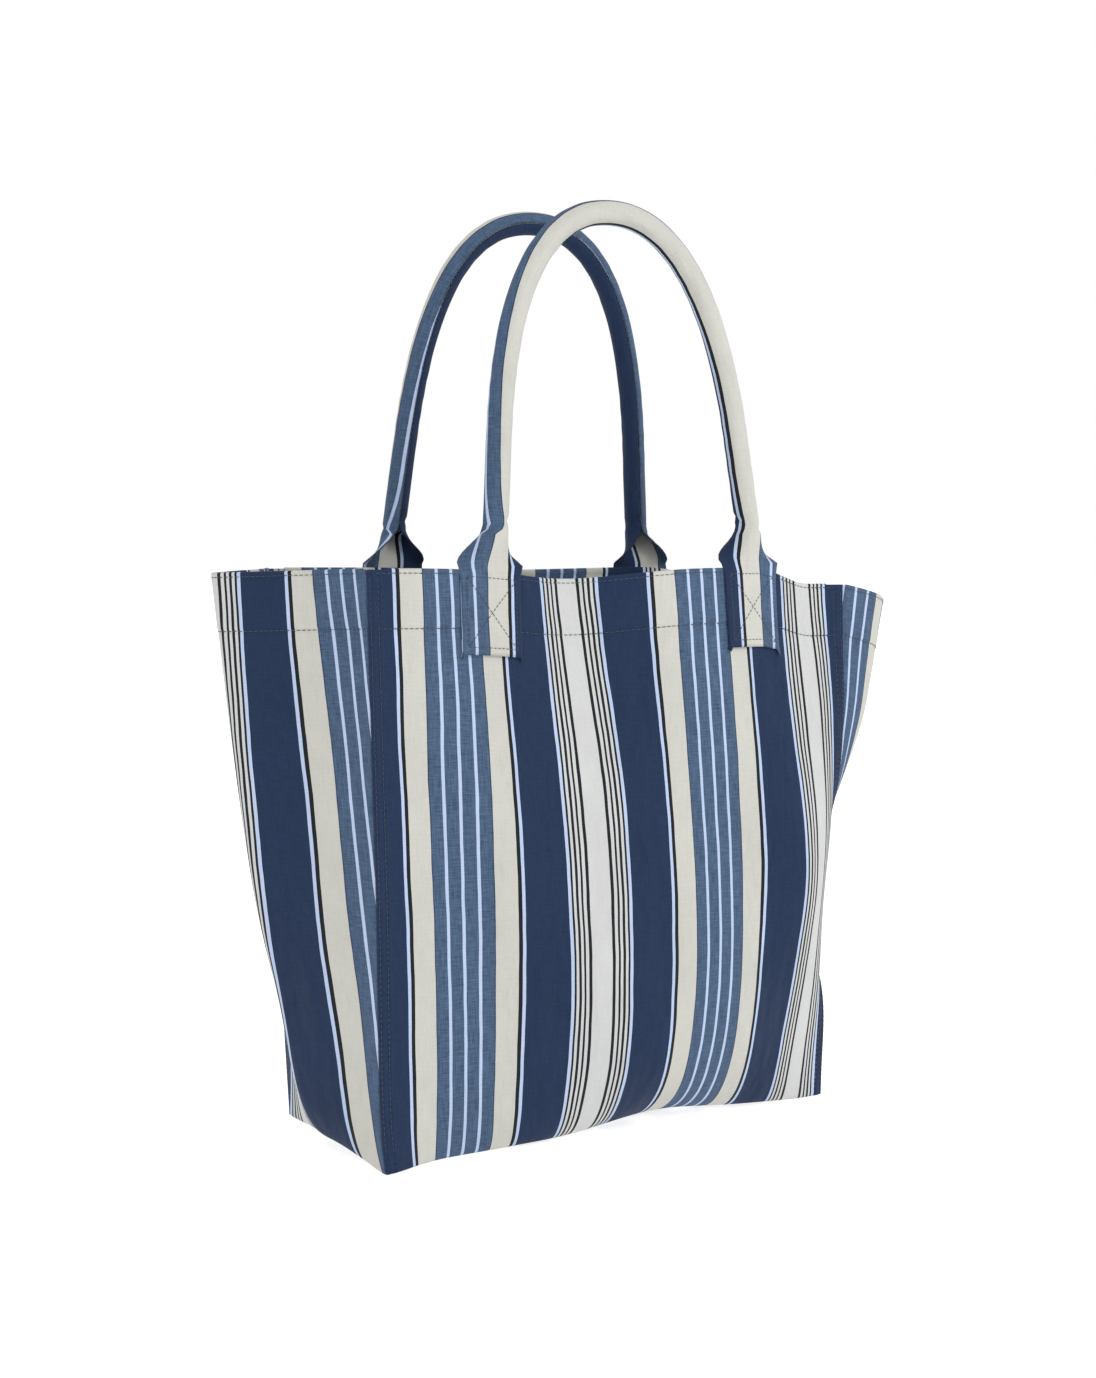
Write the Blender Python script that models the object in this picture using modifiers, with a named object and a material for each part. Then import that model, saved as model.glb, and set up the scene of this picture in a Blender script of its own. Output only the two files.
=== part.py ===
"""Canvas tote bag: five sewn panels, two rope handles on sewn tabs, and the thread that joins them.

Metres, +Z up. X runs along the front, the front faces -Y, and the origin is the middle of the base
on the floor. Each cloth piece is a grid of points on its middle surface, which Solidify makes as
thick as the canvas. The rear and the right pieces are the front and left ones mirrored.
"""

import math

import bpy
import numpy as np

# Cloth, thread and the clearance between pieces that touch
CANVAS = 0.0010  # thickness of the canvas
THREAD = 0.0006  # diameter of a row of stitches
GAP = 0.0003
LAYER = CANVAS + 2 * GAP  # from one layer of canvas to the next, middle to middle
ON_CLOTH = CANVAS / 2 + GAP + THREAD / 2  # from a canvas's middle to a row of stitches on its face

# The bag
HEIGHT = 0.380  # floor to rim
BASE_WIDTH = 0.356  # between the side seams at the floor
TOP_WIDTH = 0.375  # between the side seams at the rim
BASE_DEPTH = 0.145  # front to rear at the floor
TOP_DEPTH = 0.169  # front to rear at the rim
GUSSET_REACH = 0.074  # how far the middle of a gusset stands out past the side seams, at the rim
GUSSET_RISE = 0.45  # power of the height by which it does so: it fills out low down
GUSSET_NOSE = 1.6  # power of the plan curve: 1 is a sharp fold, 2 a parabola
BELLY = 0.030  # how far the front and rear panels bulge
BELLY_TOP = 0.322  # height at which the bulge ends
BELLY_SKEW = 0.8  # under 1 puts the fullest place below the middle

# Sewing
HEM = 0.037  # depth of the hem turned in at the rim
HEM_INSET = 0.011  # where a hem stops short of the corner seam
LAP = 0.008  # how far a gusset's seam allowance lies behind the front and rear panels
SEAM_ROWS = (0.0015, 0.0070)  # the two rows of stitches beside a corner seam
EDGE_ROW = 0.0025  # the row of stitches below the rim
SEAM_STOP = 0.012  # height at which the corner rows begin

# The handles
STRIP = 0.046  # width of the strip of canvas that a handle is rolled from
STRIP_SLIT = 0.0008  # between the strip's edges where they meet
TAB_SPACING = 0.199  # between the middles of a handle's two tabs
TAB_DEPTH = 0.053  # how far a tab is sewn down below the rim
TAB_BOX = 0.004  # from a tab's edge to the box of stitches
NECK = 0.029  # length over which the flat strip closes into a tube
HANDLE_RISE = 0.2365  # rim to the top of the arch, along the handle
ARM = 0.090  # straight part of an arm
ARM_LEAN = 0.10  # how much the arms draw together, per length
HANDLE_LEAN = math.radians(5.85)  # how far a handle leans in over the bag at rest
CORE_CLEARANCE = 0.0004
CORE_START = 0.038  # how far above the rim the filler cord starts

# The fold at the rim that a handle swings on
FOLD_RISE = 0.0010
FOLD_OUT = 0.0007
NECK_START = 0.0025

WALL_HEIGHTS = (0, 0.008, 0.03, 0.06, 0.10, 0.14, 0.18, 0.22, 0.26, 0.295, 0.322)
TUBE_RADIUS = (STRIP + STRIP_SLIT) / (2 * math.pi)  # of the rolled strip's middle surface
TAB_OUT = CANVAS + 2 * GAP + THREAD  # a tab's middle, outside the middle of the panel under it
STEP = 1e-5


def collection(name):
    made = bpy.data.collections.new(name)
    bpy.context.scene.collection.children.link(made)
    return made


def material(name, rgb, roughness):
    made = bpy.data.materials.new(name)
    made.use_nodes = True
    shader = made.node_tree.nodes["Principled BSDF"]
    shader.inputs["Base Color"].default_value = (*rgb, 1)
    shader.inputs["Roughness"].default_value = roughness
    shader.inputs["Metallic"].default_value = 0
    return made


def added(name, data, finish, parent=None):
    """A new object that shares no material with another, in the bag's collection."""
    thing = bpy.data.objects.new(name, data)
    BAG.objects.link(thing)
    colour, roughness = FINISHES[finish]
    data.materials.append(material(name, colour, roughness))
    if parent:
        thing.parent = parent
        thing.matrix_parent_inverse = parent.matrix_world.inverted()
    return thing


def cloth(name, points, keep=None, parent=None):
    """A sheet of canvas through a grid of points. keep says which of the grid's faces are there."""
    rows, columns = points.shape[:2]
    index = np.arange(rows * columns).reshape(rows, columns)
    faces = np.stack([index[:-1, :-1], index[:-1, 1:], index[1:, 1:], index[1:, :-1]], -1)
    if keep is not None:
        faces = faces[keep]
    faces = faces.reshape(-1, 4)
    used, faces = np.unique(faces, return_inverse=True)
    mesh = bpy.data.meshes.new(name)
    mesh.from_pydata(points.reshape(-1, 3)[used].tolist(), [], faces.reshape(-1, 4).tolist())
    mesh.shade_smooth()
    sheet = added(name, mesh, "canvas", parent)
    shell = sheet.modifiers.new("thickness", "SOLIDIFY")
    shell.thickness = CANVAS
    shell.offset = 0
    shell.use_even_offset = True
    return sheet


def line(name, points, radius, finish, closed=False, parent=None, roundness=0):
    """A round cord or a row of stitches through the points."""
    curve = bpy.data.curves.new(name, "CURVE")
    curve.dimensions = "3D"
    curve.bevel_depth = radius
    curve.bevel_resolution = roundness
    curve.use_fill_caps = True
    spline = curve.splines.new("POLY")
    spline.points.add(len(points) - 1)
    spline.points.foreach_set("co", np.column_stack([points, np.ones(len(points))]).ravel())
    spline.use_cyclic_u = closed
    return added(name, curve, finish, parent)


def between(low, high, height):
    """A size that changes evenly from the floor to the rim."""
    return low + (high - low) * height / HEIGHT


def half_width(height):
    return between(BASE_WIDTH, TOP_WIDTH, height) / 2


def half_depth(height):
    return between(BASE_DEPTH, TOP_DEPTH, height) / 2


def front(x, height):
    """Middle surface of the front panel: upright with a slight lean, and bulging below the tabs."""
    share = np.clip(height / BELLY_TOP, 0, 1) ** BELLY_SKEW
    bulge = BELLY * np.sin(math.pi * share) * (1 - (x / half_width(height)) ** 2)
    y = -half_depth(height) - bulge
    return np.stack(np.broadcast_arrays(x, y, height), -1)


def gusset(v, height):
    """Middle surface of the left gusset. v is -1 at the front seam, 0 at the fold, 1 at the rear."""
    reach = GUSSET_REACH * np.clip(height / HEIGHT, 0, None) ** GUSSET_RISE
    x = -half_width(height) - reach * (1 - np.abs(v) ** GUSSET_NOSE)
    y = v * (half_depth(height) - LAYER)
    return np.stack(np.broadcast_arrays(x, y, height), -1)


def off(surface, u, height, out, side=1):
    """Points that stand off a surface by out, along its normal. side turns the normal outwards."""
    low = np.maximum(height - STEP, 0)
    along = surface(u + STEP, height) - surface(u - STEP, height)
    up = surface(u, height + STEP) - surface(u, low)
    normal = np.cross(along, up) * side
    normal /= np.linalg.norm(normal, axis=-1, keepdims=True)
    return surface(u, height) + out * normal


def hemmed_heights():
    """Heights from the floor to where the rim begins to turn over."""
    turn = HEIGHT - (LAYER + CANVAS) / 2
    return np.array([*WALL_HEIGHTS, HEIGHT - HEM, HEIGHT - TAB_DEPTH / 3, turn])


def with_hem(wall, inside):
    """Adds the turn over the rim and the layer turned in, below a grid that ends where it turns.

    wall is the grid of the outer layer, and inside gives the inner layer at a height."""
    turn = HEIGHT - (LAYER + CANVAS) / 2
    outer, inner = wall[-1], inside(turn)
    middle, reach = (outer + inner) / 2, (outer - inner) / 2
    up = np.array([0, 0, LAYER / 2])
    angles = np.radians([45, 90, 135])
    over = [middle + reach * math.cos(a) + up * math.sin(a) for a in angles]
    hem = [inner, inside(HEIGHT - HEM / 2), inside(HEIGHT - HEM - EDGE_ROW)]
    return np.concatenate([wall, over, hem])


def hem_faces(rows, columns, wall_rows, first, last):
    """The grid's faces: all of the wall's, and of the hem's only those between two columns."""
    keep = np.ones((rows - 1, columns - 1), bool)
    keep[wall_rows - 1 :, :first] = False
    keep[wall_rows - 1 :, last:] = False
    return keep


def front_columns():
    """Shares of the half width: the side seams, where the hem stops, and even steps between."""
    stop = 1 - HEM_INSET / (TOP_WIDTH / 2)
    return np.array([-1, *np.linspace(-stop, stop, 17), 1])


def gusset_columns():
    return np.array([-1, -0.94, -0.8, -0.6, -0.4, -0.2, 0, 0.2, 0.4, 0.6, 0.8, 0.94, 1])


def front_grid():
    shares, heights = front_columns(), hemmed_heights()
    wall = front(shares * half_width(heights[:, None]), heights[:, None])

    def inside(height):
        return off(front, shares * half_width(height), np.full_like(shares, height), -LAYER)

    grid = with_hem(wall, inside)
    keep = hem_faces(*grid.shape[:2], len(heights), 1, len(shares) - 2)
    return grid, keep


def gusset_grid():
    """The left gusset, its hem, and the seam allowances that lap behind the front and the rear."""
    v, heights = gusset_columns(), hemmed_heights()
    wall = gusset(v, heights[:, None])
    across = -half_width(heights[:, None]) + np.array([LAP, LAP / 2])
    lap = off(front, across, np.broadcast_to(heights[:, None], across.shape), -LAYER)
    rear_lap = lap[:, ::-1] * MIRROR["rear"]
    wall = np.concatenate([lap, wall, rear_lap], axis=1)

    def inside(height):
        hem = off(gusset, v, np.full_like(v, height), -LAYER, side=-1)
        edge = off(front, -half_width(height) + np.array([LAP, LAP / 2]), np.full(2, height), -LAYER)
        return np.concatenate([edge, hem, edge[::-1] * MIRROR["rear"]])

    grid = with_hem(wall, inside)
    keep = hem_faces(*grid.shape[:2], len(heights), 3, grid.shape[1] - 4)
    return grid, keep


def base_grid():
    """The flat base, inside the walls and clear of the seam allowances at the corners."""
    inset = CANVAS / 2 + LAYER + GAP
    x = np.linspace(-1, 1, 7) * (BASE_WIDTH / 2 - inset)
    y = np.linspace(-1, 1, 4) * (BASE_DEPTH / 2 - inset)
    return np.stack(np.broadcast_arrays(x, y[:, None], CANVAS / 2), -1)


def ring(height, out):
    """A closed line round the bag at a height, standing off the panels by out."""
    shares, v = front_columns(), gusset_columns()
    face = off(front, shares * half_width(height), np.full_like(shares, height), out)
    side = off(gusset, v[1:-1], np.full(len(v) - 2, height), out, side=-1)
    corner = face[:1] - [out + CANVAS, 0, 0]
    left = np.concatenate([corner * MIRROR["rear"], side[::-1], corner])
    return np.concatenate([left, face, left[::-1] * MIRROR["right"], face[::-1] * MIRROR["rear"]])


def inner_ring():
    """The closed line of the base seam's stitches, in the crease between the base and the walls."""
    inset = CANVAS / 2 + LAYER + GAP + THREAD
    height = CANVAS + GAP + THREAD / 2
    x, y = BASE_WIDTH / 2 - inset, BASE_DEPTH / 2 - inset
    return np.array([(-x, -y, height), (x, -y, height), (x, y, height), (-x, y, height)])


def seam_rows():
    """The two rows beside the front left corner seam, joined at their foot as one line."""
    heights = np.array([SEAM_STOP, *WALL_HEIGHTS[2:], HEIGHT - HEM - EDGE_ROW])
    rows = [off(front, -half_width(heights) + row, heights, ON_CLOTH) for row in SEAM_ROWS]
    return np.concatenate([rows[0][::-1], rows[1]])


def tab_grid():
    across = TAB_SPACING / 2 + np.linspace(-0.5, 0.5, 5) * STRIP
    down = np.linspace(HEIGHT - TAB_DEPTH, HEIGHT, 5)
    across, down = np.meshgrid(-across, down)
    return off(front, across, down, TAB_OUT)


def tab_stitches():
    """One thread: round the box, along one diagonal, back beside the foot, and over the other."""
    half = STRIP / 2 - TAB_BOX
    low, high = HEIGHT - TAB_DEPTH + TAB_BOX, HEIGHT - TAB_BOX
    nudge = 2.5 * THREAD
    middle = (low + high) / 2
    route = [
        (-half, high - 2 * nudge, 0),
        (-half, low, 0),
        (half, low, 0),
        (half, high, 0),
        (-half + nudge, high, 0),
        (-half + 2 * nudge, high - nudge, 0),
        (half - nudge, low + 2 * nudge, 0),
        (half - 2 * nudge, low + nudge, 0),
        (-half + 2 * nudge, low + nudge, 0),
        (-2 * nudge, middle - 2 * nudge, 0),
        (0, middle, nudge),
        (2 * nudge, middle + 2 * nudge, 0),
        (half - nudge, high - 2 * nudge, 0),
    ]
    across, down, lift = np.array(route).T
    points = off(front, across - TAB_SPACING / 2, down, TAB_OUT + ON_CLOTH)
    return points - lift[:, None] * np.array([0, 1, 0])


def arch():
    """The front handle's line in its own plane, left to right: (across, up from the rim).

    Each arm is straight, and the top is a cubic curve that leaves it along the same line."""
    foot = TAB_SPACING / 2
    shoulder = np.array([foot - ARM_LEAN * ARM, ARM])
    pull = 0.6 * (HANDLE_RISE - ARM)
    low = shoulder + pull * np.array([-ARM_LEAN, 1])
    high = np.array([0.58 * shoulder[0], HANDLE_RISE])
    top = np.array([0, HANDLE_RISE])
    t = np.linspace(0, 1, 17)[:, None]
    bend = (1 - t) ** 3 * shoulder + 3 * (1 - t) ** 2 * t * low + 3 * (1 - t) * t**2 * high + t**3 * top
    up = np.array([NECK_START, 0.007, 0.012, 0.017, 0.023, NECK, 0.045, 0.060, 0.075])
    arm = np.stack([foot - ARM_LEAN * up, up], -1)
    half = np.concatenate([arm, bend])
    mirrored = half[-2::-1] * (-1, 1)
    return np.concatenate([half * (-1, 1), mirrored * (-1, 1)])


def smooth(share):
    share = np.clip(share, 0, 1)
    return share * share * (3 - 2 * share)


def handle_frame():
    """Origin, up and outward directions of the front handle's leaning plane."""
    origin = np.array([0, -half_depth(HEIGHT) - TAB_OUT, HEIGHT])
    up = np.array([0, math.sin(HANDLE_LEAN), math.cos(HANDLE_LEAN)])
    out = np.array([0, -math.cos(HANDLE_LEAN), math.sin(HANDLE_LEAN)])
    return origin, up, out


def placed(plane_points):
    """Points of the handle's plane, put in place."""
    origin, up, _ = handle_frame()
    return origin + plane_points[:, :1] * np.array([1, 0, 0]) + plane_points[:, 1:] * up


def handle_grid():
    """The rolled strip: flat at its feet, closing over the neck into a tube with a slit inside."""
    path = arch()
    _, up, out = handle_frame()
    along = np.gradient(path, axis=0)
    along /= np.linalg.norm(along, axis=1, keepdims=True)
    closing = smooth((path[:, 1] - NECK_START) / (NECK - NECK_START))
    right = np.stack([along[:, 1], -along[:, 0]], -1)
    level = np.stack([np.sign(along[:, 1]), np.zeros(len(path))], -1)
    right = level * (1 - closing[:, None]) + right * closing[:, None]
    right /= np.linalg.norm(right, axis=1, keepdims=True)
    right = right[:, :1] * np.array([1, 0, 0]) + right[:, 1:] * up
    full = STRIP / TUBE_RADIUS
    turn = (0.2 + (full - 0.2) * closing)[:, None]
    across = np.linspace(-0.5, 0.5, 11)
    side = STRIP / turn * np.sin(turn * across)
    back = STRIP / turn * (1 - np.cos(turn * across))
    return placed(path)[:, None] + side[..., None] * right[:, None] - back[..., None] * out


def core_line():
    path = arch()
    _, _, out = handle_frame()
    return placed(path[path[:, 1] > CORE_START]) - TUBE_RADIUS * out


def handle_stitches():
    """The row that closes the tube, along the slit on its inner side."""
    path = arch()
    _, _, out = handle_frame()
    return placed(path[path[:, 1] > CORE_START]) - (2 * TUBE_RADIUS + ON_CLOTH) * out


def build_side(side):
    """The front or the rear: panel, tabs, handle and their stitches."""
    flip = MIRROR[side]
    grid, keep = front_grid()
    cloth(side + "_panel", grid * flip, keep)
    for hand in ("left", "right"):
        turn = flip * MIRROR[hand]
        name = side + "_" + hand
        cloth(name + "_handle_tab", tab_grid() * turn)
        line(name + "_tab_stitching", tab_stitches() * turn, THREAD / 2, "thread")
        line(name + "_seam_stitching", seam_rows() * turn, THREAD / 2, "thread")
    fold = bpy.data.objects.new(side + "_handle_fold", None)
    BAG.objects.link(fold)
    fold.location = np.array(FOLD) * flip
    bpy.context.view_layer.update()
    handle = side + "_handle"
    cloth(handle + "_cover", handle_grid() * flip, parent=fold)
    core = TUBE_RADIUS * math.cos(math.pi / 10) - CANVAS / 2 - CORE_CLEARANCE
    line(handle + "_filler_cord", core_line() * flip, core, "cotton", parent=fold, roundness=2)
    line(handle + "_seam_stitching", handle_stitches() * flip, THREAD / 2, "thread", parent=fold)


def build_bag():
    for side in ("front", "rear"):
        build_side(side)
    grid, keep = gusset_grid()
    for hand in ("left", "right"):
        cloth(hand + "_gusset", grid * MIRROR[hand], keep)
    cloth("base_panel", base_grid())
    line("hem_stitching", ring(HEIGHT - HEM, ON_CLOTH), THREAD / 2, "thread", closed=True)
    line("rim_stitching", ring(HEIGHT - EDGE_ROW, ON_CLOTH), THREAD / 2, "thread", closed=True)
    line("base_seam_stitching", inner_ring(), THREAD / 2, "thread", closed=True)


MIRROR = {
    "front": np.array([1, 1, 1]),
    "left": np.array([1, 1, 1]),
    "rear": np.array([1, -1, 1]),
    "right": np.array([-1, 1, 1]),
}
FOLD = (0, -half_depth(HEIGHT) - TAB_OUT - CANVAS / 2 - FOLD_OUT, HEIGHT + FOLD_RISE)
FINISHES = {
    "canvas": ((0.035, 0.055, 0.110), 0.85),
    "thread": ((0.030, 0.040, 0.070), 0.70),
    "cotton": ((0.700, 0.660, 0.570), 0.90),
}

for thing in list(bpy.data.objects):
    bpy.data.objects.remove(thing, do_unlink=True)
BAG = collection("canvas_tote_bag")
build_bag()
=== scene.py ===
# %% [markdown]
# # A striped canvas tote bag
#
# A soft bag stands on a pale floor. It was modelled once already, as exact rigid solids that a
# physics program can use. Here those solids are only a frame: this file dresses it with cloth,
# thread and rope that look as they would by daylight. Each cell makes one piece or one finish.

# %% Load the frame
import math

import bpy
import numpy as np
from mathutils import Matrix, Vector


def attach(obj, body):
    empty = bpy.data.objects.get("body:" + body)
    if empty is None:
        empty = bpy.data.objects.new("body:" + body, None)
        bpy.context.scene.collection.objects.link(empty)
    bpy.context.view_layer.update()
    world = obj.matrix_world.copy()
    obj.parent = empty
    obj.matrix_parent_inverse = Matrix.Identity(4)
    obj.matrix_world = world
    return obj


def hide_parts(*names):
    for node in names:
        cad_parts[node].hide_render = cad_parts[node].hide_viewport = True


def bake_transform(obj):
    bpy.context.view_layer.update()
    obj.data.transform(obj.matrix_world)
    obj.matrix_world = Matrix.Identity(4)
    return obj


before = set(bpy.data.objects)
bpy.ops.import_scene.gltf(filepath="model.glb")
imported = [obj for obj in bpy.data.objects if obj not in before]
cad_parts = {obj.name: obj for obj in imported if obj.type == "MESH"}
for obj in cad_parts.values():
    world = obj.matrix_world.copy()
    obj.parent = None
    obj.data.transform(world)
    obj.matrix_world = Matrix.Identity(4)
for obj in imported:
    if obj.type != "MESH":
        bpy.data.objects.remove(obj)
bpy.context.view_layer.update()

# %% [markdown]
# ## The camera
#
# A picture of a product is usually taken a little from one side, so that the front and the depth
# both show. A 52 mm lens from 1.4 m away keeps the upright lines nearly parallel. The camera looks
# down by less than four degrees, so the rim of the open top is almost a straight line.

# %% Place the camera
camera_data = bpy.data.cameras.new("camera")
camera_data.lens = 52.38
camera_data.sensor_width = 36.0
camera = bpy.data.objects.new("camera", camera_data)
bpy.context.scene.collection.objects.link(camera)
camera.location = (-0.6975, -1.2115, 0.386)
TURN, TILT = math.radians(29.5), math.radians(-3.7)
look = Vector((math.sin(TURN) * math.cos(TILT), math.cos(TURN) * math.cos(TILT), math.sin(TILT)))
camera.rotation_euler = look.to_track_quat("-Z", "Y").to_euler()
bpy.context.scene.camera = camera
print("camera at", tuple(camera.location))

# %% [markdown]
# ## Small tools for surfaces
#
# Every piece of cloth here is a grid: one number runs across the cloth and one runs up it, and a
# formula turns the pair into a point. numpy works out all the points at once. Two curves appear in
# many of the formulas: a smooth step, which goes from 0 to 1 with no corner, and a hill, which is
# a bump with soft sides.

# %% Smooth steps, hills and the normals of a grid
MM = 0.001


def smooth(share):
    """0 below 0, 1 above 1, and the cubic 3s^2 - 2s^3 between them."""
    share = np.clip(share, 0.0, 1.0)
    return share * share * (3.0 - 2.0 * share)


def hill(value, middle, width):
    """A bell curve: 1 at the middle, 1/e at one width to either side."""
    return np.exp(-(((value - middle) / width) ** 2))


def unit(vectors):
    """The same directions with length 1."""
    return vectors / np.maximum(np.linalg.norm(vectors, axis=-1, keepdims=True), 1e-12)


def normals(points):
    """Normal at each point of a grid: the step across crossed with the step up, made length 1."""
    return unit(np.cross(np.gradient(points, axis=1), np.gradient(points, axis=0)))


def arc_length(points):
    """Distance from the first point, measured along the line through them."""
    steps = np.linalg.norm(np.diff(points, axis=0), axis=1)
    return np.concatenate([[0.0], np.cumsum(steps)])


print("smooth(0.5) =", float(smooth(0.5)), " hill at one width =", round(float(hill(1, 0, 1)), 3))


# %% Turn a grid of points into a mesh
def cloth_mesh(name, points, cloth_uv, finish, thickness=0.0, keep=None):
    """A grid of points as a mesh of quads.

    cloth_uv gives each point's place on the flat cloth in metres: across the stripes, then along
    them. keep says which quads are there. Solidify gives the sheet its thickness, half to a side."""
    rows, columns = points.shape[:2]
    index = np.arange(rows * columns).reshape(rows, columns)
    quads = np.stack([index[:-1, :-1], index[:-1, 1:], index[1:, 1:], index[1:, :-1]], -1)
    quads = (quads if keep is None else quads[keep]).reshape(-1, 4)
    used, quads = np.unique(quads, return_inverse=True)
    quads = quads.reshape(-1, 4)
    mesh = bpy.data.meshes.new(name)
    mesh.from_pydata(points.reshape(-1, 3)[used].tolist(), [], quads.tolist())
    layer = mesh.uv_layers.new(name="cloth")
    layer.data.foreach_set("uv", cloth_uv.reshape(-1, 2)[used][quads.ravel()].ravel())
    mesh.shade_smooth()
    mesh.materials.append(finish)
    piece = bpy.data.objects.new(name, mesh)
    bpy.context.scene.collection.objects.link(piece)
    if thickness:
        shell = piece.modifiers.new("thickness", "SOLIDIFY")
        shell.thickness = thickness
        shell.offset = 0.0
        shell.use_even_offset = True
    print(name, len(used), "points", len(quads), "quads")
    return piece


# %% [markdown]
# ## Colours and shader nodes
#
# Colours are easiest to choose as the hex codes of a paint program, which are stored on the sRGB
# curve. A shader works with linear light, so one function takes the curve off. Another adds a
# shader node with its settings and its links, and the finishes below are built from it.

# %% Hex colours and a function that adds one node
def linear(hex_code):
    """An sRGB hex code as linear red, green, blue and alpha."""
    curved = [int(hex_code[i : i + 2], 16) / 255 for i in (0, 2, 4)]
    straight = [c / 12.92 if c <= 0.04045 else ((c + 0.055) / 1.055) ** 2.4 for c in curved]
    return (*straight, 1.0)


def add(tree, kind, settings=None, inputs=None):
    """Adds a node. Each input is a number or colour to set, or another node's socket to link."""
    made = tree.nodes.new(kind)
    for name, value in (settings or {}).items():
        setattr(made, name, value)
    for key, value in (inputs or {}).items():
        if isinstance(value, bpy.types.NodeSocket):
            tree.links.new(value, made.inputs[key])
        else:
            made.inputs[key].default_value = value
    return made


def new_finish(name):
    """A material with only a Principled shader and its output, and that shader and node tree."""
    finish = bpy.data.materials.new(name)
    finish.use_nodes = True
    return finish, finish.node_tree, finish.node_tree.nodes["Principled BSDF"]


print("mid grey in linear light:", [round(c, 3) for c in linear("808080")])

# %% [markdown]
# ## Striped cotton canvas
#
# The cloth is a plain-woven cotton canvas of about 400 g/m2. Its stripes are woven, not printed:
# the warp threads were dyed first, so the same stripes show on both faces. The chambray stripes
# have blue warp and white weft, and look mottled. The order of the stripes runs to the middle of
# a chambray stripe and then back again, so a ping-pong of the distance across the cloth and one
# list of widths give the whole repeat of 188 mm.

# %% List the stripes, from the middle of a chambray stripe to the middle of a white one
NAVY, CHAMBRAY, SHADE = "1F2E49", "43566F", "2E3D54"
CREAM, WHITE, ICE, INK = "BAB9B2", "BDBEBD", "ACBBD6", "1A1E23"
STRIPES = [
    # width in mm, colour, how strongly the single threads show
    (1.0, ICE, 0.06),
    (8.9, CHAMBRAY, 0.50),
    (1.9, ICE, 0.06),
    (8.5, CHAMBRAY, 0.50),
    (0.7, SHADE, 0.20),
    (15.0, CREAM, 0.07),
    (2.7, INK, 0.20),
    (2.2, ICE, 0.06),
    (30.0, NAVY, 0.20),
    (0.6, INK, 0.15),
    (2.0, ICE, 0.06),
    (1.5, INK, 0.15),
    (2.0, WHITE, 0.06),
    (1.5, INK, 0.15),
    (2.0, WHITE, 0.06),
    (1.5, INK, 0.15),
    (2.0, WHITE, 0.06),
    (2.4, INK, 0.15),
    (7.5, WHITE, 0.05),
]
HALF_REPEAT = sum(stripe[0] for stripe in STRIPES) * MM
print("the stripes repeat every", round(2000 * HALF_REPEAT, 1), "mm")


# %% Build the canvas material
YARNS = (
    # size of the noise across and along the cloth in metres, and its detail
    (0.8 * MM, 14 * MM, 2.0),  # thick and thin places in the warp
    (9 * MM, 0.9 * MM, 2.0),  # the same in the weft
    (9 * MM, 22 * MM, 1.0),  # short wobbles of the stripes
    (60 * MM, 70 * MM, 1.0),  # long ones
    # painted shade: broad soft patches of the cloth, lighter and darker at random
    (55 * MM, 80 * MM, 3.0),  # wear
    (22 * MM, 60 * MM, 2.0),  # small creases
)


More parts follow.
